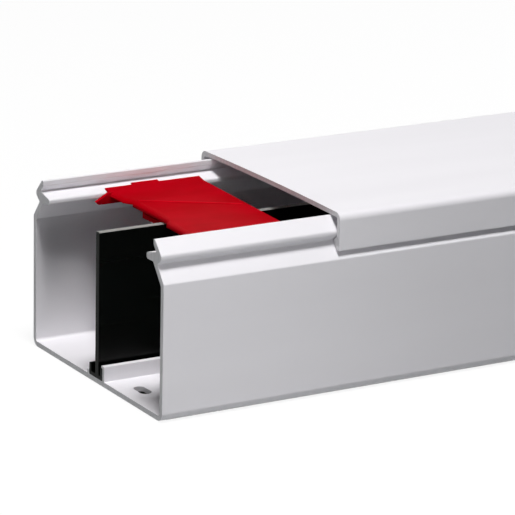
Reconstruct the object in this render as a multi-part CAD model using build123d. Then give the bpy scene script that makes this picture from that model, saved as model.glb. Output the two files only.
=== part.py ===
"""Two-compartment PVC cable trunking with its push-fit cover, divider strip and cable retainer.

The frame: X runs along the stock, +X away from the opened end. Y runs across it, +Y to the wall
farther from the viewer. Z is up, and the origin is at the middle of the underside.
"""
from build123d import *
from math import hypot
import os

# Driving dimensions, in millimetres

# The stock as a whole
length = 2000.0                 # one stock length
channel_width = 90.0            # over the two side walls
overall_height = 61.0           # underside of the floor to the crown of the cover
snap_gap = 0.3                  # clearance between pieces that snap together

# Base: floor and side walls
side_wall = 1.8
floor_wall = 1.7
outer_corner_radius = 3.0
inner_corner_radius = 1.0

# Base: the zigzag head on each wall. Drops are below the head's top, insets from the wall's outside
shoulder_drop = 13.3            # where the wall starts to slant inwards
shoulder_radius = 1.0
neck_drop = 7.7
neck_inset = 4.3
nose_drop = 4.4                 # the nose that the cover's hook catches
nose_land = 1.4                 # upright stretch of the nose
nose_radius = 1.2
head_inset = 6.0                # outer edge of the head's flat top
head_top_width = 0.9
head_face = 1.7                 # upright stretch on the head's inside
slant_wall = 2.0

# Base: the inward ledge that carries the cable retainer
ledge_root_drop = 4.0
ledge_root_inset = 5.1
ledge_tip_drop = 5.4
ledge_tip_inset = 11.3
ledge_tip_thickness = 2.0

# Base: rail for the divider's foot
rail_wall = 1.2
rail_lip = 0.7                  # how far its lip reaches over the divider's foot
rail_lip_thickness = 0.8
bead_height = 1.4               # low rib on the other side of the foot

# Base: punched fixing slots, across the floor, in two staggered rows
slot_width = 4.0
slot_length = 8.0
slot_row_offset = 18.25         # row to the trunking's centre line
slot_end_margin = 7.5           # first slot to the opened end
slot_pitch = 180.0              # from a slot of one row to the next of the other

# Cover
cover_wall = 1.6
cover_crown = 0.5               # how far its top bows up in the middle
cover_set_back = 63.9           # from the base's opened end
cover_corner_radius = 2.6
cover_inner_radius = 1.0
reveal = 2.7                    # open band between the wall's shoulder and the skirt's lower edge
hook_radius = 0.25

# Divider strip
divider_blade = 2.2
divider_offset = 0.8            # middle of its blade, from the centre line towards the hooked rail
divider_drop = 7.4              # its top edge, below the top of the walls
divider_foot_width = 8.8
divider_foot_wall = 1.2
divider_leg_height = 4.1        # upturned edges of the foot, above the floor
divider_edge_radius = 0.3

# Cable retainer
retainer_start = 21.7           # near edge, from the base's opened end
retainer_length = 36.0          # along the trunking, at its longer side
retainer_skew = 3.2             # how much less that is at the other side
retainer_wall = 1.3
retainer_rise = 0.3             # top of its plate, above the ledge's tip
retainer_notch = 1.9            # how far the near edge is cut back over the divider
retainer_notch_far = 19.5       # that notch's straight stretch, from the centre line
retainer_notch_near = -4.0
retainer_notch_run = 3.0        # its sloping sides, across the trunking
retainer_lip = 2.0              # depth of the thick lip along the near edge
retainer_lip_wall = 2.2
retainer_lip_radius = 1.8
retainer_flange = 1.9           # how far its flange lies on the ledge
retainer_flange_wall = 0.6
retainer_tab = 3.2              # the same for the tab on the flange
retainer_tab_start = 10.5       # tab, from the plate's near edge
retainer_tab_length = 10.0
retainer_claw_wall = 1.3
retainer_claw_drop = 1.2        # claw, below the ledge's lower face
retainer_toe = 0.8              # the claw's toe, under the ledge
retainer_tongue = 5.0           # how far one claw runs on past the plate's near edge
retainer_tongue_height = 1.0    # blunt end of that claw
retainer_rib = 0.2              # height of the slanting rib on the plate
retainer_rib_width = 0.8
retainer_rib_far_end = 1.0      # that rib at the far edge, from the centre line
retainer_loop_width = 13.0      # the loop that leans on the divider, across
retainer_loop_drop = 3.0        # below the plate
retainer_loop_wall = 1.6
retainer_finger_length = 6.0    # the finger on the divider's other side
retainer_finger_wall = 1.2
retainer_finger_grip = 1.7      # below the divider's top edge

# Levels and lines that several pieces share
near_end = -length / 2
far_end = length / 2
half_width = channel_width / 2
inner_half_width = half_width - side_wall
cover_side_top = overall_height - cover_crown
cover_underside = cover_side_top - cover_wall
head_top = cover_underside - snap_gap
shoulder_level = head_top - shoulder_drop
neck_level = head_top - neck_drop
neck_half_width = half_width - neck_inset
nose_level = head_top - nose_drop
nose_half_width = half_width - cover_wall - snap_gap
nose_low_level = nose_level - nose_land
head_inside = half_width - head_inset - head_top_width
ledge_root_level = head_top - ledge_root_drop
ledge_root_half_width = half_width - ledge_root_inset
ledge_tip_level = head_top - ledge_tip_drop
ledge_tip_half_width = half_width - ledge_tip_inset
ledge_low_level = ledge_tip_level - ledge_tip_thickness
ledge_slope = (ledge_root_level - ledge_tip_level) / (ledge_root_half_width - ledge_tip_half_width)
slant_slope = neck_inset / (neck_level - shoulder_level)
slant_thickness_across = slant_wall * hypot(1.0, slant_slope)
foot_half_width = divider_foot_width / 2
blade_far_face = divider_blade / 2 - divider_offset
blade_near_face = -divider_blade / 2 - divider_offset
leg_top = floor_wall + divider_leg_height
divider_top = head_top - divider_drop


def section(points):
    """A closed face from (across, up) points."""
    return make_face(Polyline(*points, close=True))


def mirrored(points):
    """The points, then their mirror images about the centre line in reverse, as one outline."""
    return points + [(-across, up) for across, up in reversed(points)]


def rounded(face, corners, radius):
    """The face with the vertices nearest to the given (across, up) corners rounded."""
    for across, up in corners:
        face = fillet(face.vertices().sort_by_distance((across, up, 0))[0], radius)
    return face


def both_sides(across, up):
    return [(across, up), (-across, up)]


def extruded(face, start, end):
    """An (across, up) face carried along X."""
    return extrude(Plane.YZ.offset(start) * face, amount=end - start)


def slant_outside(level):
    """Half width over the slanted part of the walls at a level."""
    return half_width - slant_slope * (level - shoulder_level)


def make_base():
    slant_foot_level = shoulder_level + (side_wall - slant_thickness_across) / slant_slope
    ledge_root_low = slant_outside(ledge_low_level) - slant_thickness_across
    wall_outline = [
        (half_width, 0),
        (half_width, shoulder_level),
        (neck_half_width, neck_level),
        (nose_half_width, nose_low_level),
        (nose_half_width, nose_level),
        (half_width - head_inset, head_top),
        (head_inside, head_top),
        (head_inside, head_top - head_face),
        (ledge_root_half_width, ledge_root_level),
        (ledge_tip_half_width, ledge_tip_level),
        (ledge_tip_half_width, ledge_low_level),
        (ledge_root_low, ledge_low_level),
        (inner_half_width, slant_foot_level),
        (inner_half_width, floor_wall),
    ]
    face = section(mirrored(wall_outline))
    face = rounded(face, both_sides(half_width, 0), outer_corner_radius)
    face = rounded(face, both_sides(inner_half_width, floor_wall), inner_corner_radius)
    face = rounded(face, both_sides(half_width, shoulder_level), shoulder_radius)
    face = rounded(face, both_sides(nose_half_width, nose_low_level), nose_radius)
    face = rounded(face, both_sides(nose_half_width, nose_level), nose_radius)
    tip_corners = both_sides(ledge_tip_half_width, ledge_tip_level)
    tip_corners += both_sides(ledge_tip_half_width, ledge_low_level)
    face = rounded(face, tip_corners, 0.4 * ledge_tip_thickness)

    rib_inside = foot_half_width + snap_gap
    rib_outside = rib_inside + rail_wall
    lip_level = leg_top + snap_gap
    rail_top = lip_level + rail_lip_thickness
    hooked_rib = [
        (-rib_outside, 0),
        (-rib_outside, rail_top),
        (-rib_inside + rail_lip, rail_top),
        (-rib_inside + rail_lip, lip_level),
        (-rib_inside, lip_level),
        (-rib_inside, 0),
    ]
    bead_top = floor_wall + bead_height
    bead = [(rib_inside, 0), (rib_inside, bead_top), (rib_outside, bead_top), (rib_outside, 0)]
    face = face + section(hooked_rib) + section(bead)

    channel = extruded(face, near_end, far_end)
    slot = SlotOverall(slot_length, slot_width, rotation=90)
    for place, row_side in slot_places():
        spot = Pos(place, row_side * slot_row_offset, -floor_wall)
        channel -= spot * extrude(slot, amount=3 * floor_wall)
    return channel


def slot_places():
    """Slot centres along X, with the side of the centre line that each lies on."""
    count = int((length - 2 * slot_end_margin) // slot_pitch) + 1
    return [(near_end + slot_end_margin + i * slot_pitch, -1 if i % 2 == 0 else 1) for i in range(count)]


def make_cover():
    """The hook's two faces run at the snap gap from the wall's slant and from the nose's underside."""
    skirt_inside = half_width - cover_wall
    skirt_low = shoulder_level + reveal
    nose_slope = (nose_half_width - neck_half_width) / (nose_low_level - neck_level)
    slant_clearance = snap_gap * hypot(1.0, slant_slope)
    nose_clearance = snap_gap * hypot(1.0, nose_slope)
    hook_level = neck_level + (slant_clearance - nose_clearance) / (slant_slope + nose_slope)
    hook_tip = slant_outside(hook_level) + slant_clearance
    hook_root = neck_level + (skirt_inside - neck_half_width - nose_clearance) / nose_slope
    skirt = [
        (half_width, cover_side_top),
        (half_width, skirt_low),
        (slant_outside(skirt_low) + slant_clearance, skirt_low),
        (hook_tip, hook_level),
        (skirt_inside, hook_root),
        (skirt_inside, cover_underside),
    ]
    other_skirt = [(-across, up) for across, up in skirt]
    face = make_face([
        Polyline(*skirt),
        ThreePointArc(skirt[-1], (0, overall_height - cover_wall), other_skirt[-1]),
        Polyline(*other_skirt),
        ThreePointArc(other_skirt[0], (0, overall_height), skirt[0]),
    ])
    face = rounded(face, both_sides(half_width, cover_side_top), cover_corner_radius)
    face = rounded(face, both_sides(skirt_inside, cover_underside), cover_inner_radius)
    face = rounded(face, both_sides(hook_tip, hook_level), hook_radius)
    return extruded(face, near_end + cover_set_back, far_end)


def make_divider():
    plate_top = floor_wall + divider_foot_wall
    leg_inside = foot_half_width - divider_foot_wall
    face = section([
        (foot_half_width, floor_wall),
        (foot_half_width, leg_top),
        (leg_inside, leg_top),
        (leg_inside, plate_top),
        (blade_far_face, plate_top),
        (blade_far_face, divider_top),
        (blade_near_face, divider_top),
        (blade_near_face, plate_top),
        (-leg_inside, plate_top),
        (-leg_inside, leg_top),
        (-foot_half_width, leg_top),
        (-foot_half_width, floor_wall),
    ])
    top_corners = [(blade_far_face, divider_top), (blade_near_face, divider_top)]
    face = rounded(face, top_corners, divider_edge_radius)
    return extruded(face, near_end, far_end)


def ledge_top(across):
    """Level of the ledge's sloping top at a distance from the centre line."""
    return ledge_tip_level + ledge_slope * (across - ledge_tip_half_width)


def make_retainer():
    start = near_end + retainer_start
    end = start + retainer_length
    plate_top = ledge_tip_level + retainer_rise
    plate_under = plate_top - retainer_wall
    claw_outside = ledge_tip_half_width - snap_gap
    claw_inside = claw_outside - retainer_claw_wall
    claw_top = ledge_low_level - snap_gap
    claw_low = claw_top - retainer_claw_drop

    notch = start + retainer_notch
    near_edge = [
        (start, claw_outside),
        (start, retainer_notch_far + retainer_notch_run),
        (notch, retainer_notch_far),
        (notch, retainer_notch_near),
        (start, retainer_notch_near - retainer_notch_run),
        (start, -claw_outside),
    ]
    plan = section(near_edge + [(end - retainer_skew, -claw_outside), (end, claw_outside)])
    body = extrude(Plane.XY.offset(plate_top) * plan, amount=-retainer_lip)
    lip_edges = body.edges().filter_by(Axis.Z, reverse=True).filter_by_position(Axis.X, start, notch)
    lip_edges = lip_edges.filter_by_position(Axis.Z, plate_top, plate_top)
    body = fillet(lip_edges, retainer_lip_radius)
    hollow = [
        (start, claw_outside),
        (start, retainer_notch_far),
        (notch + retainer_lip_wall, retainer_notch_far),
        (notch + retainer_lip_wall, -claw_outside),
        (end, -claw_outside),
        (end, claw_outside),
    ]
    body -= extrude(Plane.XY.offset(plate_under) * section(hollow), amount=-retainer_lip)

    def flange(reach):
        edge = ledge_tip_half_width + reach
        return [
            (claw_inside, ledge_top(claw_inside) + retainer_flange_wall),
            (edge, ledge_top(edge) + retainer_flange_wall),
            (edge, ledge_top(edge)),
            (claw_outside, ledge_top(claw_outside)),
            (claw_outside, claw_top),
            (claw_outside + retainer_toe, claw_top),
            (claw_outside, claw_low),
            (claw_inside, claw_low),
        ]

    def other_side(points):
        return [(-across, up) for across, up in points]

    tab_start = start + retainer_tab_start
    body += extruded(section(flange(retainer_flange)), start, end)
    body += extruded(section(flange(retainer_tab)), tab_start, tab_start + retainer_tab_length)
    body += extruded(section(other_side(flange(retainer_flange))), start, end - retainer_skew)

    tongue_end = start - retainer_tongue
    tongue = section([
        (start + retainer_claw_wall, plate_top),
        (start, plate_top),
        (tongue_end, claw_low + retainer_tongue_height),
        (tongue_end + retainer_tongue_height, claw_low),
        (start + retainer_claw_wall, claw_low),
    ])
    body += extrude(Plane.XZ.offset(-claw_outside) * tongue, amount=retainer_claw_wall)

    rib_start = (notch + retainer_lip_radius, retainer_notch_far)
    rib_end = (end - retainer_skew, retainer_rib_far_end)
    rib = section([
        rib_start,
        rib_end,
        (rib_end[0], rib_end[1] - retainer_rib_width),
        (rib_start[0], rib_start[1] - retainer_rib_width),
    ])
    body += extrude(Plane.XY.offset(plate_top) * rib, amount=retainer_rib)

    loop_inside = blade_far_face + snap_gap
    loop_outside = loop_inside + retainer_loop_width
    loop_low = plate_under - retainer_loop_drop
    loop = [
        (loop_inside, plate_under),
        (loop_inside, loop_low),
        (loop_outside, loop_low),
        (loop_outside, plate_under),
        (loop_outside - retainer_loop_wall, plate_under),
        (loop_outside - retainer_loop_wall, loop_low + retainer_loop_wall),
        (loop_inside + retainer_loop_wall, loop_low + retainer_loop_wall),
        (loop_inside + retainer_loop_wall, plate_under),
    ]
    loop_end = notch + retainer_lip_wall
    body += extruded(section(loop), loop_end - retainer_loop_wall, loop_end)

    finger_inside = blade_near_face - snap_gap
    finger_low = divider_top - retainer_finger_grip
    finger = [
        (finger_inside, plate_under),
        (finger_inside, finger_low),
        (finger_inside - retainer_finger_wall, finger_low),
        (finger_inside - retainer_finger_wall, plate_under),
    ]
    finger_end = end - retainer_skew
    body += extruded(section(finger), finger_end - retainer_finger_length, finger_end)
    return body


def main():
    os.makedirs("parts", exist_ok=True)
    pieces = {
        "trunking_base": make_base(),
        "cover": make_cover(),
        "divider_strip": make_divider(),
        "cable_retainer": make_retainer(),
    }
    for name, piece in pieces.items():
        export_step(piece, f"parts/{name}.step")
        print(name, "volume", round(piece.volume / 1000, 2), "cm3")


main()
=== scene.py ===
# %% [markdown]
# # Cable trunking with its cover pushed back
#
# This lesson dresses a length of PVC cable trunking: a white channel, a white cover that is set
# back from the opened end, a dark divider strip and a red cable retainer. The shapes are already
# known to the millimetre, so the work here is to give them the soft edges, the sawn ends and the
# plastics that the eye expects.

# %% The frame
import math

import bmesh
import bpy
import numpy as np
from mathutils import Matrix, Vector


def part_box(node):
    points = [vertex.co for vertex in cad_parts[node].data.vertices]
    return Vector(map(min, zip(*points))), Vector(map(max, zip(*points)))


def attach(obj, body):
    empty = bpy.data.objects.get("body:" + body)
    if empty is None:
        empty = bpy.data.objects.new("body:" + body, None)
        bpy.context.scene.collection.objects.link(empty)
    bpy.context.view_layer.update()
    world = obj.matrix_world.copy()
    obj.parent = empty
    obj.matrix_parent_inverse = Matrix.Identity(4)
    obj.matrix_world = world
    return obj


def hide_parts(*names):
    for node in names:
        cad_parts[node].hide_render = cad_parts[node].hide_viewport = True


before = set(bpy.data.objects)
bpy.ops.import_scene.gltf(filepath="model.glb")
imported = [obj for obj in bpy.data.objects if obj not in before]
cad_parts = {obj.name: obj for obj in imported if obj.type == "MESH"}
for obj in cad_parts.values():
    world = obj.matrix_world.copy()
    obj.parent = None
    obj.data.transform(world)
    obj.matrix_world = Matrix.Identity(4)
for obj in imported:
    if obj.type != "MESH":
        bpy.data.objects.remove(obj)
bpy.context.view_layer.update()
print("nodes:", sorted(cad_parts))

# %% [markdown]
# ## Sizes
#
# All lengths are in millimetres, as on the drawing of the section, and become metres only when a
# mesh is filled. The overall sizes are read from the frame, so they can't drift from it. The
# smaller ones, such as how far the neck is set in, are named in the step that needs them.

# %% Sizes
MM = 0.001


def corners_in_mm(node):
    """Lowest and highest corner of a node's box, in millimetres."""
    low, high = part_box(node)
    return np.array(low) / MM, np.array(high) / MM


base_low, base_high = corners_in_mm("trunking_base")
cover_low, cover_high = corners_in_mm("cover")
divider_low, divider_high = corners_in_mm("divider_strip")

near_end, far_end = base_low[0], base_high[0]
half_width, head_top = base_high[1], base_high[2]
cover_start, skirt_low, cover_top = cover_low[0], cover_low[2], cover_high[2]
foot_half_width, floor_level, divider_top = divider_high[1], divider_low[2], divider_high[2]
side_wall = 1.8
cover_wall = 1.6
snap_gap = 0.3                  # clearance between pieces that snap together
edge_radius = 0.2               # an extruded edge is never quite sharp
print("stock", round(far_end - near_end), "mm long,", round(2 * half_width), "x", round(cover_top, 1), "mm")

# %% [markdown]
# ## An outline with rounded corners
#
# An extrusion is one outline pushed along a straight line, so the outline carries all the skill.
# A bevel could round the edges afterwards, but here every corner has its own radius, from the
# 3 mm under the channel to the 0.2 mm of an edge that only looks sharp. Working the arcs out also
# gives the exact direction of the surface at each point, so that flat walls stay flat in the
# light and only the corners catch it. A square of 2 mm shows what comes out.

# %% Rounded outline
ARC_STEPS = 9


def rounded_outline(corners):
    """Points and outward normals of a closed outline, from (across, up, radius) corners.

    An arc of radius r in a corner of angle 2h touches both sides at r / tan h from the corner,
    and its centre lies at r / sin h along the bisector. Points follow the arc by turning one
    end spoke into the other. The outline runs anticlockwise seen from +X, so a left turn is
    convex and its spokes point outwards, and a right turn is hollow and they point inwards.
    """
    table = np.array(corners, float)
    corner, radius = table[:, :2], table[:, 2:]
    before = np.roll(corner, 1, axis=0) - corner
    after = np.roll(corner, -1, axis=0) - corner
    before /= np.linalg.norm(before, axis=1, keepdims=True)
    after /= np.linalg.norm(after, axis=1, keepdims=True)
    half = np.arccos(np.sum(before * after, axis=1, keepdims=True)) / 2
    bisector = (before + after) / np.linalg.norm(before + after, axis=1, keepdims=True)
    centre = corner + bisector * radius / np.sin(half)
    first = (corner + before * radius / np.tan(half) - centre) / radius
    last = (corner + after * radius / np.tan(half) - centre) / radius
    sweep = (math.pi - 2 * half)[:, None]
    t = np.linspace(0.0, 1.0, ARC_STEPS)[None, :, None]
    turned = np.sin((1 - t) * sweep) * first[:, None] + np.sin(t * sweep) * last[:, None]
    spoke = turned / np.sin(sweep)
    points = centre[:, None] + radius[:, None] * spoke
    left_turn = np.sign(before[:, 1] * after[:, 0] - before[:, 0] * after[:, 1])
    return points.reshape(-1, 2), (spoke * left_turn[:, None, None]).reshape(-1, 2)


square_corners = [(1.0, -1.0, 0.5), (1.0, 1.0, 0.5), (-1.0, 1.0, 0.5), (-1.0, -1.0, 0.5)]
square, square_normals = rounded_outline(square_corners)
print("rounded square:", len(square), "points, normals of length",
      np.linalg.norm(square_normals, axis=1).mean().round(6))

# %% [markdown]
# ## Carrying an outline along the stock
#
# The outline is repeated at each station along X and neighbouring copies are joined by quads.
# Blender would guess the normals from the faces. Here they are handed over with the faces, since
# the outline knows them.

# %% Rings along the stock


def along_stock(outline, stations):
    """The outline's points repeated at each station: station s, point j is row s * count + j."""
    count = len(outline)
    along = np.repeat(np.asarray(stations, float), count)[:, None]
    return np.hstack([along, np.tile(outline, (len(stations), 1))])


def side_quads(stations, count):
    """Quads facing outwards: points j and j + 1 of a ring of count, and the same of the next ring."""
    i = np.arange(stations - 1)[:, None] * count
    j = np.arange(count)[None, :]
    k = (j + 1) % count
    return np.stack([i + j, i + k, i + count + k, i + count + j], axis=-1)


def ring_normals(normals, quads):
    """Corner normals of the quads, from the (across, up) normals of one ring."""
    upright = np.hstack([np.zeros((len(normals), 1)), normals])
    return upright[quads % len(normals)]


print("square tube over 3 stations:", side_quads(3, len(square)).size // 4, "quads")

# %% [markdown]
# ## Filling a mesh
#
# The two sawn ends are one many-sided face each, with a material of their own, because a saw leaves
# a duller face than the die does. Faces come in groups, each with the normals of its corners and
# the slot of its material, and go into the mesh as whole arrays.

# %% Mesh from arrays
WALL, SAWN = 0, 1


def sawn_ends(stations, count):
    """The first ring turned round and the last ring, as one face each, facing along X."""
    ring = np.arange(count)
    ends = np.stack([ring[::-1], ring + (stations - 1) * count])
    facing = np.array([[-1.0, 0.0, 0.0], [1.0, 0.0, 0.0]])
    return ends, np.repeat(facing[:, None], count, axis=1), SAWN


def fill_mesh(name, points, groups, materials):
    """An object from points in millimetres and (faces, corner normals, material) groups."""
    mesh = bpy.data.meshes.new(name)
    faces = [face for group in groups for face in group[0].tolist()]
    mesh.from_pydata((points * MM).tolist(), [], faces)
    mesh.polygons.foreach_set("use_smooth", np.ones(len(faces), bool))
    index = np.concatenate([np.full(len(group[0]), group[2]) for group in groups])
    mesh.polygons.foreach_set("material_index", index.astype(np.int32))
    normals = np.concatenate([group[1].reshape(-1, 3) for group in groups])
    mesh.normals_split_custom_set(normals.tolist())
    for material in materials:
        mesh.materials.append(material)
    piece = bpy.data.objects.new(name, mesh)
    bpy.context.scene.collection.objects.link(piece)
    print(name, len(mesh.vertices), "points,", len(faces), "faces, bad geometry:", mesh.validate())
    return piece


print("material slots: wall", WALL, "and sawn end", SAWN)

# %% [markdown]
# ## Colours
#
# Colours are written as sRGB hex values, as a paint chip would give them, and one function turns
# them to the linear numbers that the shader mixes.

# %% Colours


def linear(hex_colour):
    """Linear RGBA of an sRGB hex colour: a straight line near black, and a power of 2.4 above it."""
    srgb = np.array([int(hex_colour[i:i + 2], 16) for i in (1, 3, 5)]) / 255
    rgb = np.where(srgb <= 0.04045, srgb / 12.92, ((srgb + 0.055) / 1.055) ** 2.4)
    return (*rgb.tolist(), 1.0)


print("#808080 is", round(linear("#808080")[0], 3), "in linear light")

# %% [markdown]
# ## Nodes and patterns
#
# One function adds a node with its settings and links, so that a material reads as a short list.
# The plastics here need only one kind of pattern, a soft noise that is stretched to the size of the
# real marks. Either the tint follows it, or the gloss, or the relief.

# %% Nodes and patterns
tint_range = (0.35, 0.65)       # where on the noise the tint starts and stops changing


def add_node(tree, kind, settings=None, links=None):
    """Adds a node, sets its properties and inputs, and links the inputs that have a source."""
    node = tree.nodes.new(kind)
    for name, value in (settings or {}).items():
        if isinstance(name, str) and hasattr(node, name):
            setattr(node, name, value)
        else:
            node.inputs[name].default_value = value
    for name, source in (links or {}).items():
        tree.links.new(source, node.inputs[name])
    return node


def new_material(name):
    """A new material, its node tree and the shader in it."""
    material = bpy.data.materials.new(name)
    material.use_nodes = True
    return material, material.node_tree, material.node_tree.nodes["Principled BSDF"]


def per_metre(sizes):
    """How many times blotches of the given sizes in millimetres fit into a metre."""
    return [1 / (size * MM) for size in sizes]


def streaks(tree, sizes, detail=2.0):
    """A soft random pattern whose blotches have the given (X, Y, Z) sizes in millimetres."""
    place = add_node(tree, "ShaderNodeTexCoord")
    scaled = add_node(tree, "ShaderNodeMapping", {"Scale": per_metre(sizes)},
                      {"Vector": place.outputs["Object"]})
    noise = add_node(tree, "ShaderNodeTexNoise", {"Scale": 1.0, "Detail": detail},
                     {"Vector": scaled.outputs["Vector"]})
    return noise.outputs["Fac"]


def tinted(tree, pattern, low_hex, high_hex):
    """A colour that follows a pattern from one tint to another."""
    ramp = add_node(tree, "ShaderNodeValToRGB", links={"Fac": pattern})
    low, high = ramp.color_ramp.elements
    low.position, high.position = tint_range
    low.color, high.color = linear(low_hex), linear(high_hex)
    return ramp.outputs["Color"]


print("blotches of 1 mm in a metre:", round(per_metre([1.0])[0]))

# %% [markdown]
# ## PVC from a die
#
# PVC trunking is pushed out of a steel die and cooled in a calibrator, which leaves a satin skin
# with very fine lines along the stock. Those lines are 0.1 to 0.2 mm apart, finer than a pixel,
# so the pattern is drawn about 1 mm across and hundreds of millimetres long. It moves the gloss
# and the relief by a hair. The melt isn't perfectly even either, so broad soft bands move the tint
# by as little, and a long wall doesn't look like paint on a screen.

# %% Extruded PVC
die_line_sizes = (400.0, 1.0, 1.0)
die_line_height, die_line_strength = 0.002, 0.1
melt_band_sizes = (180.0, 22.0, 22.0)
roughness_swing = 0.04          # change of the roughness to either side along the die lines
pvc_ior = 1.53


def extruded_pvc(name, low_hex, high_hex, roughness, gloss_level):
    """PVC as it leaves the die: satin, with faint lines along the stock.

    The tint follows the melt's bands. Roughness and relief follow the die lines, and the gloss
    level sets how strong the skin's reflections are.
    """
    material, tree, shader = new_material(name)
    lines = streaks(tree, die_line_sizes)
    bands = streaks(tree, melt_band_sizes)
    tree.links.new(tinted(tree, bands, low_hex, high_hex), shader.inputs["Base Color"])
    gloss = add_node(tree, "ShaderNodeMapRange",
                     {"To Min": roughness - roughness_swing, "To Max": roughness + roughness_swing},
                     {"Value": lines})
    tree.links.new(gloss.outputs["Result"], shader.inputs["Roughness"])
    relief = add_node(tree, "ShaderNodeBump",
                      {"Strength": die_line_strength, "Distance": die_line_height * MM},
                      {"Height": lines})
    tree.links.new(relief.outputs["Normal"], shader.inputs["Normal"])
    shader.inputs["IOR"].default_value = pvc_ior
    shader.inputs["Specular IOR Level"].default_value = gloss_level
    return material


# White rigid PVC: a cold white, because titanium dioxide hides the resin's yellow
white_pvc = extruded_pvc("white_extruded_pvc", "#E4E2E6", "#E7E5E9", roughness=0.42, gloss_level=0.5)
# Near-black PVC: carbon black leaves a faint green in the sheen, and the skin is glossier
black_pvc = extruded_pvc("black_extruded_pvc", "#020302", "#040705", roughness=0.26, gloss_level=0.2)
# The same black with a painted sheen for the divider's top edge: a grey that stands in for light on the
# edge
painted_sheen_pvc = extruded_pvc("black_pvc_painted_sheen", "#7C7B79", "#8E8D8A", roughness=0.45, gloss_level=0.3)
print("extruded:", white_pvc.name, black_pvc.name, painted_sheen_pvc.name)

# %% [markdown]
# ## PVC under the saw
#
# Stock is cut to length by a circular saw. The cut is matt and a little greyer than the skin, with
# marks about 0.5 mm apart that run up the section. They are drawn 1 mm apart to show at all.

# %% Sawn PVC
saw_mark_sizes, saw_mark_detail = (1.0, 1.0, 25.0), 4.0
saw_mark_depth, saw_mark_strength = 0.02, 0.4
sawn_roughness, sawn_gloss_level = 0.7, 0.2


def sawn_pvc(name, low_hex, high_hex):
    """PVC where the saw went through: matt, with marks that run up the section."""
    material, tree, shader = new_material(name)
    marks = streaks(tree, saw_mark_sizes, saw_mark_detail)
    tree.links.new(tinted(tree, marks, low_hex, high_hex), shader.inputs["Base Color"])
    relief = add_node(tree, "ShaderNodeBump",
                      {"Strength": saw_mark_strength, "Distance": saw_mark_depth * MM},
                      {"Height": marks})
    tree.links.new(relief.outputs["Normal"], shader.inputs["Normal"])
    shader.inputs["Roughness"].default_value = sawn_roughness
    shader.inputs["IOR"].default_value = pvc_ior
    shader.inputs["Specular IOR Level"].default_value = sawn_gloss_level
    return material


# Sawn white PVC: matt and greyer than the skin
sawn_white_pvc = sawn_pvc("sawn_white_pvc", "#DAD9DB", "#E4E3E5")
# Sawn black PVC: the torn surface scatters light, so the black is a little lifted
sawn_black_pvc = sawn_pvc("sawn_black_pvc", "#060907", "#0C110D")
print("sawn:", sawn_white_pvc.name, sawn_black_pvc.name)

# %% [markdown]
# ## Plastic from a mould
#
# The retainer is injection moulded in a strong red. The mould was spark-eroded to a fine grain of
# some 0.05 mm, which scatters the reflections and keeps the red deep. The melt's flow shows as
# slow changes of tint a centimetre or so across. The grain is drawn ten times coarser.

# %% Moulded plastic
flow_sizes = (14.0, 9.0, 9.0)
grain_sizes = (0.5, 0.5, 0.5)
grain_depth, grain_strength = 0.01, 0.3
eroded_roughness, eroded_gloss_level = 0.6, 0.01
abs_ior = 1.49


def moulded_abs(name, low_hex, high_hex):
    """ABS from an eroded mould: nearly matt and deep in colour, with a fine grain."""
    material, tree, shader = new_material(name)
    flow = tinted(tree, streaks(tree, flow_sizes), low_hex, high_hex)
    tree.links.new(flow, shader.inputs["Base Color"])
    grain = add_node(tree, "ShaderNodeBump",
                     {"Strength": grain_strength, "Distance": grain_depth * MM},
                     {"Height": streaks(tree, grain_sizes)})
    tree.links.new(grain.outputs["Normal"], shader.inputs["Normal"])
    shader.inputs["Roughness"].default_value = eroded_roughness
    shader.inputs["IOR"].default_value = abs_ior
    shader.inputs["Specular IOR Level"].default_value = eroded_gloss_level
    return material


# Red ABS: an eroded face with only a trace of light on its edges
red_plastic = moulded_abs("red_moulded_abs", "#A3000C", "#AD0011")
# The same ABS with a painted highlight: a paler red on the slanting rib that stands in for light along it
painted_highlight_abs = moulded_abs("red_abs_painted_highlight", "#C1091C", "#C90B1F")
print("moulded:", red_plastic.name, painted_highlight_abs.name)

# %% [markdown]
# ## The channel's outline
#
# The channel is one extrusion: a floor, two walls, a zigzag head on each wall that the cover snaps
# over, a ledge inside each head, and a rail in the middle for the divider's foot. One wall is
# listed from the outside of its foot, over the head and down the inside. The other is its mirror
# image, and the rail comes between them.

# %% Channel's wall
shoulder_level = head_top - 13.3
neck_level, neck_half_width = head_top - 7.7, half_width - 4.3
nose_level, nose_land = head_top - 4.4, 1.4
nose_half_width = half_width - cover_wall - snap_gap
head_outside, head_inside = half_width - 6.0, half_width - 6.9
head_face = 1.7                 # upright stretch on the head's inside
ledge_root = (half_width - 5.1, head_top - 4.0)
ledge_tip = (half_width - 11.3, head_top - 5.4)
ledge_low = ledge_tip[1] - 2.0
slant_wall = 2.0
slant_slope = (half_width - neck_half_width) / (neck_level - shoulder_level)
slant_across = slant_wall * math.hypot(1.0, slant_slope)
inner_half_width = half_width - side_wall
foot_radius, shoulder_radius, neck_radius, nose_radius = 3.0, 1.0, 0.3, 1.2
head_radius, head_root_radius, ledge_radius = 0.3, 0.6, 0.8
ledge_under_radius, slant_under_radius, floor_radius = 0.4, 0.6, 1.0


def slant_outside(level):
    """Half width over the slanted part of the walls, which shrinks evenly above the shoulder."""
    return half_width - slant_slope * (level - shoulder_level)


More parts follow.
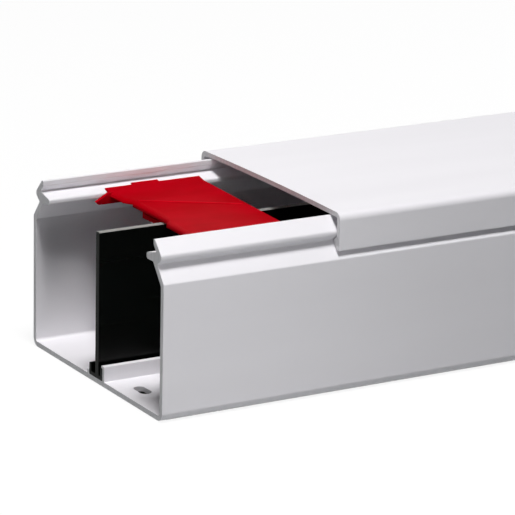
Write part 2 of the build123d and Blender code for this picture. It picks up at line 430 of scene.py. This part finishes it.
wall_corners = [
    (half_width, 0.0, foot_radius),
    (half_width, shoulder_level, shoulder_radius),
    (neck_half_width, neck_level, neck_radius),
    (nose_half_width, nose_level - nose_land, nose_radius),
    (nose_half_width, nose_level, nose_radius),
    (head_outside, head_top, head_radius),
    (head_inside, head_top, head_radius),
    (head_inside, head_top - head_face, head_root_radius),
    (*ledge_root, edge_radius),
    (*ledge_tip, ledge_radius),
    (ledge_tip[0], ledge_low, ledge_radius),
    (slant_outside(ledge_low) - slant_across, ledge_low, ledge_under_radius),
    (inner_half_width, shoulder_level + (side_wall - slant_across) / slant_slope, slant_under_radius),
    (inner_half_width, floor_level, floor_radius),
]
print("wall:", len(wall_corners), "corners, shoulder at", round(shoulder_level, 1), "mm")

# %% Channel's rail and outline
rail_wall, bead_height = 1.2, 1.4
lip_reach, lip_wall = 0.7, 0.8
leg_height = 4.1                # the divider's upturned edges, which the rail's lip holds down
rib_inside = foot_half_width + snap_gap
rib_outside = rib_inside + rail_wall
leg_top = floor_level + leg_height
lip_level = leg_top + snap_gap
rail_top = lip_level + lip_wall
bead_top = floor_level + bead_height
rail_corners = [(across, up, edge_radius) for across, up in [
    (rib_outside, floor_level),
    (rib_outside, bead_top),
    (rib_inside, bead_top),
    (rib_inside, floor_level),
    (-rib_inside, floor_level),
    (-rib_inside, lip_level),
    (-rib_inside + lip_reach, lip_level),
    (-rib_inside + lip_reach, rail_top),
    (-rib_outside, rail_top),
    (-rib_outside, floor_level),
]]


def other_side(corners):
    """The corners' mirror images about the centre line, in reverse order."""
    return [(-across, up, radius) for across, up, radius in reversed(corners)]


arc_points, arc_normals = rounded_outline(wall_corners + rail_corners + other_side(wall_corners))
print("channel outline:", len(arc_points), "points")

# %% [markdown]
# ## The punched slots
#
# The floor has slots for fixing screws, punched across it in two staggered rows. A Boolean cut
# would do, but it throws away the normals. So the outline gets a few more points on the floor and
# on the underside, the stock gets a station before and behind each slot, and the four-sided cell
# that they bound is left out. Two faces with the slot's edge between them fill the cell, and a
# short wall joins the upper edge to the lower one.

# %% Slot places
slot_half_length, slot_radius = 4.0, 2.0
slot_row = 18.25                # row to the centre line
slot_first, slot_pitch = 7.5, 180.0
end_slack = 1.0                 # a slot right at the last place still counts
cell_ahead, cell_aside = 5.0, 6.0

slot_along = np.arange(near_end + slot_first, far_end - slot_first + end_slack, slot_pitch)
slot_is_far = np.arange(len(slot_along)) % 2 == 1
slot_across = np.where(slot_is_far, slot_row, -slot_row)
cell_marks = [slot_row + cell_aside, slot_row - cell_aside]
cell_stations = np.concatenate([slot_along - cell_ahead, slot_along + cell_ahead])
stations = np.sort(np.concatenate([[near_end, far_end], cell_stations]))
print(len(slot_along), "slots,", len(stations), "stations")

# %% Channel ring with marks for the slots
wall_end = len(wall_corners) * ARC_STEPS
rail_end = wall_end + len(rail_corners) * ARC_STEPS
floor_far = np.array([(mark, floor_level) for mark in cell_marks])
floor_near = floor_far[::-1] * (-1, 1)
under_far = np.array([(mark, 0.0) for mark in reversed(cell_marks)])
under = np.concatenate([under_far[::-1] * (-1, 1), under_far])


def with_marks(values, far, near, below):
    """The ring's values with those of the floor and underside marks put in their places."""
    sections = [values[:wall_end], far, values[wall_end:rail_end], near, values[rail_end:], below]
    return np.concatenate(sections)


ring = with_marks(arc_points, floor_far, floor_near, under)
flat_up = np.tile([0.0, 1.0], (len(floor_far), 1))
flat_down = np.tile([0.0, -1.0], (len(under), 1))
normals = with_marks(arc_normals, flat_up, flat_up, flat_down)
count = len(ring)
first_far = wall_end
first_near = rail_end + len(floor_far)
first_under = count - len(under)
print("channel ring:", count, "points")

# %% Slot edges
SLOT_STEPS = 17                 # points on each half circle
turn = np.linspace(0.0, math.pi, SLOT_STEPS)
turn = np.concatenate([turn, turn + math.pi])
ray = np.stack([np.cos(turn), np.sin(turn)], axis=1)
shift = np.repeat([slot_half_length - slot_radius, slot_radius - slot_half_length], SLOT_STEPS)
slot_edge = slot_radius * ray + np.stack([np.zeros_like(shift), shift], axis=1)
slot_count, edge_count = len(slot_along), len(slot_edge)


def slot_rings(level):
    """The edge of each slot at a level: two half circles of the slot's width, set apart."""
    flat = slot_edge + np.stack([slot_along, slot_across], axis=1)[:, None]
    return np.concatenate([flat, np.full((slot_count, edge_count, 1), level)], axis=2).reshape(-1, 3)


points = np.concatenate([along_stock(ring, stations), slot_rings(floor_level), slot_rings(0.0)])
upper_ring = len(stations) * count + np.arange(slot_count * edge_count).reshape(slot_count, edge_count)
lower_ring = upper_ring + slot_count * edge_count
print("slot edges:", 2 * slot_count, "of", edge_count, "points")

# %% Slot cells
behind = 2 * np.arange(slot_count) + 1


def cell_faces(low_side, high_side, hole):
    """Two faces per cell, parted at the ends of the slot's long axis, facing up.

    The first runs over the cell's high side and down the slot's edge ahead, the second over the
    low side and up the slot's edge behind.
    """
    rear, front = behind * count, (behind + 1) * count
    tip, tail = SLOT_STEPS // 2, SLOT_STEPS + SLOT_STEPS // 2
    edge_ahead = hole[:, np.arange(tip, tail - edge_count - 1, -1) % edge_count]
    edge_behind = hole[:, np.arange(tail, tip - 1, -1)]
    over = np.column_stack([front + high_side, rear + high_side, edge_ahead, front + low_side])
    below = np.column_stack([rear + high_side, rear + low_side, front + low_side, edge_behind])
    return np.concatenate([over, below])


floor_high = np.where(slot_is_far, first_far, first_near)
floor_cells = cell_faces(floor_high + 1, floor_high, upper_ring)
under_low = first_under + np.where(slot_is_far, len(under_far), 0)
under_cells = cell_faces(under_low, under_low + 1, lower_ring)[:, ::-1]
next_step = np.roll(np.arange(edge_count), -1)
slot_walls = np.stack([upper_ring, upper_ring[:, next_step], lower_ring[:, next_step], lower_ring], axis=-1)
inward = np.hstack([-ray, np.zeros((edge_count, 1))])
wall_normals = np.stack([inward, inward[next_step], inward[next_step], inward], axis=1)
print("slot cells:", len(floor_cells) + len(under_cells), "faces, walls:", slot_walls.size // 4)

# %% Channel
kept = np.ones((len(stations) - 1, count), bool)
kept[behind, floor_high] = False
kept[behind, under_low] = False
quads = side_quads(len(stations), count)[kept]
facing_up = np.tile([0.0, 0.0, 1.0], (*floor_cells.shape, 1))
channel = fill_mesh("channel", points, [
    (quads, ring_normals(normals, quads), WALL),
    (floor_cells, facing_up, WALL),
    (under_cells, -facing_up, WALL),
    (slot_walls.reshape(-1, 4), np.tile(wall_normals, (slot_count, 1, 1)), WALL),
    sawn_ends(len(stations), count),
], [white_pvc, sawn_white_pvc])
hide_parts("trunking_base")
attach(channel, "root")

# %% [markdown]
# ## The cover
#
# The cover is a second extrusion, with a skirt on each side and a hook at the skirt's foot that
# lies in the channel's neck. Its hook takes both slopes from the channel, one snap gap away. Its
# top is bowed up by half a millimetre, which keeps a thin plate from looking dished. A bow is an
# arc, and an arc is a corner with a very large radius: the apex of the two tangents gets it.

# %% Cover's outline
cover_crown = 0.5
cover_corner_radius, cover_inner_radius = 2.6, 1.0
hook_radius, skirt_radius = 0.25, 0.3
side_top = cover_top - cover_crown
underside = side_top - cover_wall
skirt_inside = half_width - cover_wall
nose_slope = (nose_half_width - neck_half_width) / (nose_level - nose_land - neck_level)
slant_clearance = snap_gap * math.hypot(1.0, slant_slope)
nose_clearance = snap_gap * math.hypot(1.0, nose_slope)
hook_level = neck_level + (slant_clearance - nose_clearance) / (slant_slope + nose_slope)
hook_root = neck_level + (skirt_inside - neck_half_width - nose_clearance) / nose_slope


def bow(reach, level, free):
    """The apex of a bowed run from -reach to reach at a level, with its large radius.

    The arc leaves the last stretch at each end straight, the free length, for the corner there.
    With tangents of slope s that meet at the apex, an arc over a run r lies r s / 2 below it.
    """
    run = reach - free
    slope = cover_crown / (reach - run / 2)
    return [(0.0, level + slope * reach, run / slope)]


skirt_corners = [
    (skirt_inside, underside, cover_inner_radius),
    (skirt_inside, hook_root, skirt_radius),
    (slant_outside(hook_level) + slant_clearance, hook_level, hook_radius),
    (slant_outside(skirt_low) + slant_clearance, skirt_low, hook_radius),
    (half_width, skirt_low, skirt_radius),
    (half_width, side_top, cover_corner_radius),
]
cover_corners = (bow(skirt_inside, underside, 2 * cover_inner_radius) + skirt_corners
                 + bow(half_width, side_top, 2 * cover_corner_radius) + other_side(skirt_corners))
print("cover outline:", len(cover_corners), "corners, hook at", round(hook_level, 1), "mm")

# %% Cover


def extruded_piece(name, corners, stations, materials):
    """A piece whose outline has the given (across, up, radius) corners, with sawn ends."""
    outline, normals = rounded_outline(corners)
    quads = side_quads(len(stations), len(outline)).reshape(-1, 4)
    groups = [(quads, ring_normals(normals, quads), WALL), sawn_ends(len(stations), len(outline))]
    return fill_mesh(name, along_stock(outline, stations), groups, materials)


lid = extruded_piece("lid", cover_corners, [cover_start, far_end], [white_pvc, sawn_white_pvc])
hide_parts("cover")
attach(lid, "root")

# %% [markdown]
# ## The divider strip
#
# The divider is a third extrusion, a dark blade on a foot that slides into the channel's rail. The
# blade stands a little off the middle, towards the rail's hooked side. Its top edge gets a painted
# sheen, a grey that stands in for light on the edge. Paint on a mask could show that, but the edge
# already has faces of its own, so they get a material of their own.

# %% Divider's outline
blade_middle, blade_half = -0.8, 1.1
foot_wall = 1.2
blade_radius = 0.3
foot_top = floor_level + foot_wall
leg_inside = foot_half_width - foot_wall
divider_corners = [
    (foot_half_width, floor_level, edge_radius),
    (foot_half_width, leg_top, edge_radius),
    (leg_inside, leg_top, edge_radius),
    (leg_inside, foot_top, edge_radius),
    (blade_middle + blade_half, foot_top, blade_radius),
    (blade_middle + blade_half, divider_top, blade_radius),
    (blade_middle - blade_half, divider_top, blade_radius),
    (blade_middle - blade_half, foot_top, blade_radius),
    (-leg_inside, foot_top, edge_radius),
    (-leg_inside, leg_top, edge_radius),
    (-foot_half_width, leg_top, edge_radius),
    (-foot_half_width, floor_level, edge_radius),
]
print("divider outline:", len(divider_corners), "corners, blade", 2 * blade_half, "mm thick")

# %% Divider
# The top edge's grey is a painted sheen; this is how far down over the edge's rounding it reaches.
sheen_reach = 0.2               # the scuffs reach this far down over the edge's rounding


# Used for painted highlights: a paler material on an edge's faces that stands in for light on them.
def paint_edge_highlight(piece, material, level, reach):
    """Gives a further material to the wall faces whose highest point is within a reach of a level.

    A mesh lists the corners of one face after those of another. So a face's highest point is the
    largest height from where its own corners start to where the next face's do.
    """
    mesh = piece.data
    place = np.empty(3 * len(mesh.vertices), np.float32)
    corner = np.empty(len(mesh.loops), np.int32)
    start = np.empty(len(mesh.polygons), np.int32)
    slot = np.empty(len(mesh.polygons), np.int32)
    mesh.vertices.foreach_get("co", place)
    mesh.loops.foreach_get("vertex_index", corner)
    mesh.polygons.foreach_get("loop_start", start)
    mesh.polygons.foreach_get("material_index", slot)
    height = place.reshape(-1, 3)[:, 2] / MM
    face_top = np.maximum.reduceat(height[corner], start)
    highlighted = (slot == WALL) & (np.abs(face_top - level) < reach)
    slot[highlighted] = len(mesh.materials)
    mesh.materials.append(material)
    mesh.polygons.foreach_set("material_index", slot)
    print(piece.name, "faces rubbed paler:", highlighted.sum())


partition = extruded_piece("partition", divider_corners, [near_end, far_end], [black_pvc, sawn_black_pvc])
# Painted sheen: the blade's top faces get the grey material.
paint_edge_highlight(partition, painted_sheen_pvc, divider_top, sheen_reach)
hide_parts("divider_strip")
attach(partition, "root")

# %% [markdown]
# ## The cable retainer
#
# The retainer is a small moulding of many short faces, which the solid already has. What it lacks
# is the soft edge that every moulding shows. So a copy of the solid's mesh is merged, its flat
# triangles are joined to larger faces, and a bevel rounds what is left. The low rib that slants
# over the plate gets a painted highlight, a paler red along it. Its faces are those that end at the level
# of its top.

# %% Retainer
moulded_edge, edge_steps = 0.2, 2
sharp_angle, flat_angle = math.radians(35), math.radians(0.5)
merge_reach = 0.002             # points closer than this are one
plate_rise, rib_rise = 0.3, 0.2  # the plate over the ledges' tips, and the rib over the plate
rib_reach = 0.02                # slack in finding the faces that end at the rib's top


def softened_copy(node, name, material):
    """A merged copy of a node's mesh with joined flats and a small bevel on its edges."""
    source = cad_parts[node]
    mesh = source.data.copy()
    mesh.name = name
    work = bmesh.new()
    work.from_mesh(mesh)
    bmesh.ops.remove_doubles(work, verts=work.verts, dist=merge_reach * MM)
    bmesh.ops.dissolve_limit(work, angle_limit=flat_angle, verts=work.verts, edges=work.edges)
    work.to_mesh(mesh)
    work.free()
    mesh.materials.clear()
    mesh.materials.append(material)
    mesh.polygons.foreach_set("use_smooth", np.ones(len(mesh.polygons), bool))
    piece = bpy.data.objects.new(name, mesh)
    bpy.context.scene.collection.objects.link(piece)
    soft = piece.modifiers.new("moulded edge", "BEVEL")
    soft.width, soft.segments = moulded_edge * MM, edge_steps
    soft.limit_method, soft.angle_limit = "ANGLE", sharp_angle
    soft.harden_normals = True
    print(name, len(mesh.polygons), "faces before its bevel")
    return piece


clip = softened_copy("cable_retainer", "clip", red_plastic)
# Painted highlight: the rib's faces get the paler red.
paint_edge_highlight(clip, painted_highlight_abs, ledge_tip[1] + plate_rise + rib_rise, rib_reach)
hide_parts("cable_retainer")
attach(clip, "root")

# %% [markdown]
# ## The camera
#
# The camera stands about a metre away, to the left of the opened end and above it. Its place and
# its long lens were worked out from the edges of the stock in the photograph. Azimuth 0 looks
# along +Y, and a small roll tilts the frame as the photographer held it.

# %% Camera
camera_before_end, camera_aside, camera_up = 474.1, -901.1, 344.4
azimuth, elevation, roll = math.radians(-30.67), math.radians(16.48), math.radians(1.24)
focal_pixels, frame_pixels = 3294.0, 515.0
sensor_width = 36.0
nearest, farthest = 0.05, 200.0  # what the camera sees, in metres
scene = bpy.context.scene

level = math.cos(elevation)
back = Vector((math.sin(azimuth) * level, -math.cos(azimuth) * level, math.sin(elevation)))
level_right = (-back).cross(Vector((0, 0, 1))).normalized()
level_up = level_right.cross(-back)
right = math.cos(roll) * level_right + math.sin(roll) * level_up
up = math.cos(roll) * level_up - math.sin(roll) * level_right
camera_data = bpy.data.cameras.new("camera")
camera_data.sensor_width = sensor_width
camera_data.lens = focal_pixels / frame_pixels * sensor_width
camera_data.clip_start, camera_data.clip_end = nearest, farthest
camera = bpy.data.objects.new("camera", camera_data)
camera_place = Vector((near_end - camera_before_end, camera_aside, camera_up)) * MM
camera.matrix_world = Matrix.Translation(camera_place) @ Matrix((right, up, back)).transposed().to_4x4()
scene.collection.objects.link(camera)
scene.camera = camera
print("lens", round(camera_data.lens), "mm")

# %% [markdown]
# ## The floor
#
# The stock lies on a pale studio floor that turns up far away, so that a low view has no edge to
# see. It is a sheet of nine faces, three by three. The middle one lies under the stock and gets a
# dark paper of its own, a painted shade.

# %% Floor's shape
floor_reach, floor_drop = 60.0, 0.3 * MM
backdrop_height = 8.0
strip_inset = 3.0               # the strip ends this far inside the stock's sides, in millimetres
strip_ends = [(near_end + strip_inset) * MM, (far_end - strip_inset) * MM]
strip_sides = [(strip_inset - half_width) * MM, (half_width - strip_inset) * MM]
floor_x = np.array([-floor_reach, *strip_ends, floor_reach])
floor_y = np.array([-floor_reach, *strip_sides, floor_reach])

# Point (i, j) of the 4 x 4 grid is row 4 i + j, and the raised corners are the rows after it
grid = np.stack([*np.meshgrid(floor_x, floor_y, indexing="ij"), np.full((4, 4), -floor_drop)], axis=-1)
rim = grid[[0, 3, 3, 0], [0, 0, 3, 3]] + (0.0, 0.0, backdrop_height)
first = (4 * np.arange(3)[:, None] + np.arange(3)).reshape(-1, 1)
floor_faces = first + [0, 4, 5, 1]
corner, raised = np.array([0, 12, 15, 3]), 16 + np.arange(4)
backdrop_faces = np.stack([np.roll(corner, -1), corner, raised, np.roll(raised, -1)], axis=1)
floor_mesh = bpy.data.meshes.new("floor")
floor_mesh.from_pydata(np.concatenate([grid.reshape(-1, 3), rim]).tolist(), [],
                       np.concatenate([floor_faces, backdrop_faces]).tolist())
MIDDLE_FACE = 4
floor_mesh.polygons[MIDDLE_FACE].material_index = 1
floor = bpy.data.objects.new("floor", floor_mesh)
scene.collection.objects.link(floor)
print("floor", 2 * floor_reach, "m wide,", len(floor_mesh.polygons), "faces")

# %% [markdown]
# ## The floor's papers
#
# To the camera and in reflections the floor is white, as on a page of a catalogue: most of its
# white is its own, so that the stock's shadow on it stays faint. Light that bounces meets a plain
# light grey instead, or else the floor would lift the shade on the walls. Little light gets under
# the stock, so the strip there is dark paper, a painted shade. Without it the slots would look down
# on something that glows.

# %% Floor's papers
own_white = 0.88                # share of the floor's white that no shadow takes away
paper_roughness = 0.9

# Matt white paper: it scatters light evenly and shows no grain from a metre away
white_floor, tree, _ = new_material("white_studio_paper")
tree.nodes.clear()
glow = add_node(tree, "ShaderNodeEmission", {"Color": linear("#FFFFFF"), "Strength": 1.0})
paper = add_node(tree, "ShaderNodeBsdfDiffuse", {"Color": linear("#FDFDFD")})
seen = add_node(tree, "ShaderNodeMixShader", {0: own_white}, {1: paper.outputs[0], 2: glow.outputs[0]})
lit = add_node(tree, "ShaderNodeBsdfDiffuse", {"Color": linear("#929495")})
path = add_node(tree, "ShaderNodeLightPath")
mirrored = add_node(tree, "ShaderNodeMath", {"operation": "MAXIMUM"},
                    {0: path.outputs["Is Camera Ray"], 1: path.outputs["Is Glossy Ray"]})
direct = add_node(tree, "ShaderNodeMath", {"operation": "MAXIMUM"},
                  {0: mirrored.outputs["Value"], 1: path.outputs["Is Transmission Ray"]})
surface = add_node(tree, "ShaderNodeMixShader",
                   links={0: direct.outputs["Value"], 1: lit.outputs[0], 2: seen.outputs[0]})
add_node(tree, "ShaderNodeOutputMaterial", links={"Surface": surface.outputs[0]})

# Painted shade: a dark paper under the stock in place of its shadow, so that the slots read as holes
shaded_floor, tree, shader = new_material("painted_shade_paper")
shader.inputs["Base Color"].default_value = linear("#141414")
shader.inputs["Roughness"].default_value = paper_roughness
for material in (white_floor, shaded_floor):
    floor_mesh.materials.append(material)
print("papers:", white_floor.name, shaded_floor.name)

# %% [markdown]
# ## The light
#
# The opened end is what the picture is about, so its lamps come first. A steep softbox over it
# reaches between the heads to the floor of the channel, and leaves the upper part of the inner wall
# in the ledge's shade. A wide one behind puts a soft sheen on the tops. Two weak ones, in front of
# the wall and before the sawn end, lift the faces that look at the viewer. The last three carry the
# same level along the rest of the stock and round its back, with beams held narrow enough to leave
# the opened end alone.

# %% Light
scene.view_settings.view_transform = "Standard"
room_strength = 0.04


def softbox(name, place, aim, size, watts, spread=180.0):
    """A rectangular area lamp at a place in metres, turned to an aim, its beam held to a spread."""
    lamp = bpy.data.lights.new(name, "AREA")
    lamp.shape = "RECTANGLE"
    lamp.size, lamp.size_y = size
    lamp.energy = watts
    lamp.spread = math.radians(spread)
    thing = bpy.data.objects.new(name, lamp)
    thing.location = place
    thing.rotation_mode = "QUATERNION"
    thing.rotation_quaternion = (Vector(aim) - Vector(place)).to_track_quat("-Z", "Y")
    thing.visible_camera = False
    scene.collection.objects.link(thing)


softbox("key_softbox", (-1.1, -0.5, 1.75), (-0.95, 0.0, 0.03), (0.5, 0.5), watts=35.5)
softbox("rear_softbox", (0.1, 2.0, 0.8), (-0.95, 0.0, 0.05), (1.6, 0.6), watts=2.5)
softbox("front_fill", (-1.0, -0.45, 0.1), (-1.01, -0.045, 0.035), (0.12, 0.12), watts=0.02, spread=40.0)
softbox("end_fill", (-1.9, 0.1, 0.3), (-1.0, 0.0, 0.03), (0.3, 0.3), watts=0.8)
softbox("ceiling_strip", (0.5, -0.6, 1.2), (0.5, 0.0, 0.03), (1.5, 0.3), watts=2.7, spread=55.0)
softbox("back_strip", (0.0, 1.6, 0.35), (0.0, 0.0, 0.04), (2.0, 0.2), watts=1.4, spread=70.0)
softbox("far_end_fill", (1.9, -0.2, 0.3), (1.0, 0.0, 0.03), (0.3, 0.3), watts=3.5)

world = bpy.data.worlds.new("studio")
scene.world = world
world.use_nodes = True
room = world.node_tree.nodes["Background"]
room.inputs["Color"].default_value = linear("#FFFFFF")
room.inputs["Strength"].default_value = room_strength
